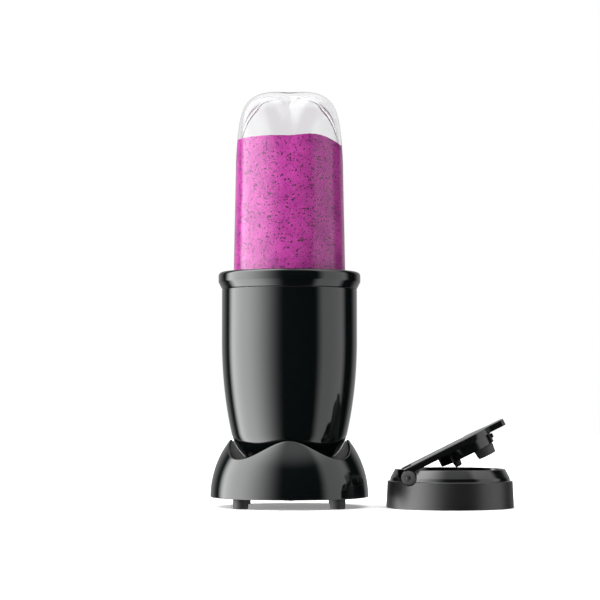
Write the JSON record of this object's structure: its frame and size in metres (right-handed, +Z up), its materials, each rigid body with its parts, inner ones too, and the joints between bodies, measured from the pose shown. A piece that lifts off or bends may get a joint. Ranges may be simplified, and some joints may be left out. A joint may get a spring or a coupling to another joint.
{
  "type": "countertop blender",
  "caption": "Small personal blender: bullet-shaped motor base with flared skirt, upturned clear cup of blended drink, and a flip-top drinking lid beside it.",
  "frame": {"origin": "on the worktop, under the middle of the set's bounding box (blender and lid together)", "axes": "+Z up, along the blender's axis; +X from the blender to its lid; -Y is the front, where the viewer stands; +Y is the cord side"},
  "size_m": [0.2168, 0.1137, 0.2988],
  "materials": {
    "gloss_housing": "high gloss moulded black",
    "satin_plastic": "satin black",
    "inner_plastic": "matt black",
    "pale_plastic": "natural nylon",
    "board": "green circuit laminate",
    "rubber": "soft black elastomer",
    "steel": "bright ground steel",
    "laminations": "stacked steel laminations",
    "copper": "enamelled copper",
    "bronze": "sintered bronze",
    "carbon": "pressed carbon",
    "clear_cup": "clear moulded copolyester",
    "drink": "thick berry puree with seeds"
  },
  "bodies": {
    "base": {"housing": "gloss_housing", "collar_ring": "gloss_housing", "skirt": "gloss_housing", "base_frame": "inner_plastic", "bottom_cover": "satin_plastic", "cord_gland": "rubber", "foot_left_back": "rubber", "foot_left_front": "rubber", "foot_right_back": "rubber", "foot_right_front": "rubber", "cover_screw_back": "steel", "cover_screw_front": "steel", "cover_screw_left": "steel", "cover_screw_right": "steel", "rectifier_board": "board", "suppression_capacitor": "pale_plastic", "cup_well": "inner_plastic", "shaft_seal": "rubber", "switch_plate": "inner_plastic", "micro_switch": "satin_plastic", "activator_spring_1": "steel", "activator_spring_2": "steel", "activator_spring_3": "steel", "motor_stator": "laminations", "field_coil_lower": "copper", "field_coil_upper": "copper", "lower_bracket": "pale_plastic", "upper_bracket": "pale_plastic", "lower_bearing": "steel", "upper_bearing": "steel", "motor_mount": "rubber", "brush_holder_left": "pale_plastic", "brush_holder_right": "pale_plastic", "carbon_brush_left": "carbon", "carbon_brush_right": "carbon"},
    "plungers": {"activator_1": "pale_plastic", "activator_2": "pale_plastic", "activator_3": "pale_plastic"},
    "switch_arm": {"switch_lever": "steel"},
    "rotor": {"motor_shaft": "steel", "armature_core": "laminations", "commutator": "copper", "cooling_fan": "pale_plastic", "drive_coupling": "satin_plastic"},
    "bush": {"blade_bush": "bronze"},
    "cup_assembly": {"cup": "clear_cup", "blade_holder": "gloss_housing", "cup_gasket": "rubber", "smoothie": "drink"},
    "blades": {"blade_shaft": "steel", "lower_cross_blade": "steel", "upper_cross_blade": "steel", "blade_nut": "steel", "driven_coupling": "satin_plastic"},
    "lid": {"lid_shell": "gloss_housing", "lid_gasket": "rubber", "lid_hinge_pin": "steel"},
    "cap": {"flip_cap": "gloss_housing", "spout_plug": "rubber", "vent_plug": "rubber"}
  },
  "joints": [
    {"name": "press", "type": "slide", "parent": "base", "child": "plungers", "axis": [0, 0, 1], "range_m": [-0.003, 0], "stiffness_N_per_m": 2500, "springref_m": 0.006, "deforming": ["activator_spring_1", "activator_spring_2", "activator_spring_3"]},
    {"name": "switch_press", "type": "hinge", "parent": "base", "child": "switch_arm", "pos_m": [-0.04793, -0.02575, 0.1147], "axis": [0.9903, 0.1392, 0], "range_deg": [0, 18]},
    {"name": "motor_spin", "type": "hinge", "parent": "base", "child": "rotor", "pos_m": [-0.05155, 0, 0.08], "axis": [0, 0, 1], "continuous": true},
    {"name": "cup_lift", "type": "slide", "parent": "plungers", "child": "bush", "axis": [0, 0, 1], "range_m": [0, 0.1]},
    {"name": "cup_twist", "type": "hinge", "parent": "bush", "child": "cup_assembly", "pos_m": [-0.05155, 0, 0.16], "axis": [0, 0, 1], "range_deg": [0, 20]},
    {"name": "blade_spin", "type": "hinge", "parent": "bush", "child": "blades", "pos_m": [-0.05155, 0, 0.145], "axis": [0, 0, 1], "continuous": true},
    {"name": "lid_lift", "type": "slide", "parent": "base", "child": "lid", "axis": [0, 0, 1], "range_m": [0, 0.06]},
    {"name": "cap_hinge", "type": "hinge", "parent": "lid", "child": "cap", "pos_m": [0.03195, -0.0115, 0.0218], "axis": [0, -1, 0], "range_deg": [-23, 60]}
  ],
  "couplings": [
    {"joint": "blade_spin", "follows": "motor_spin", "ratio": 1},
    {"joint": "switch_press", "follows": "press", "rad_per_m": -85}
  ]
}
